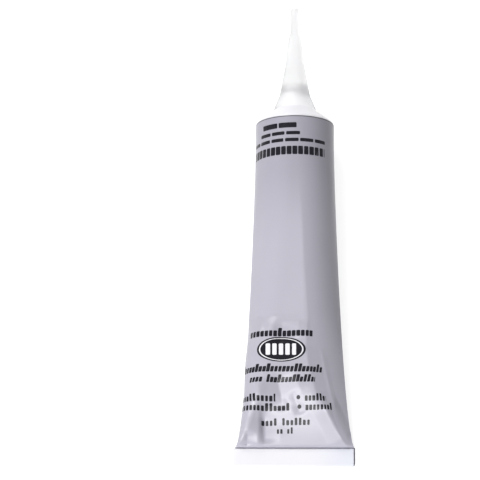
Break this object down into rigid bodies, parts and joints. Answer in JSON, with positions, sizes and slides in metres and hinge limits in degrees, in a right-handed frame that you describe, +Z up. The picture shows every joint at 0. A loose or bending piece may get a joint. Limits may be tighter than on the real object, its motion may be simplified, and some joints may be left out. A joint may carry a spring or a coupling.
{
  "type": "glue tube",
  "caption": "Collapsible metal glue tube, round at the shoulder and rolled flat at the end, with a long hollow screw-on nozzle.",
  "frame": {"origin": "middle of the bottom face of the bounding box, on the surface the tube lies on", "axes": "+Y from the rolled end to the nozzle tip, along the neck's axis; +Z up, towards the printed front; the tube lies on its back"},
  "size_m": [0.0348, 0.1316, 0.0222],
  "materials": {
    "painted_tube": "satin grey enamel",
    "natural_plastic": "natural translucent polyethylene"
  },
  "bodies": {
    "tube": {"tube": "painted_tube"},
    "nozzle": {"nozzle": "natural_plastic"}
  },
  "joints": [
    {"name": "nozzle_off", "type": "slide", "parent": "tube", "child": "nozzle", "axis": [0, 1, 0], "range_m": [0, 0.012]}
  ]
}
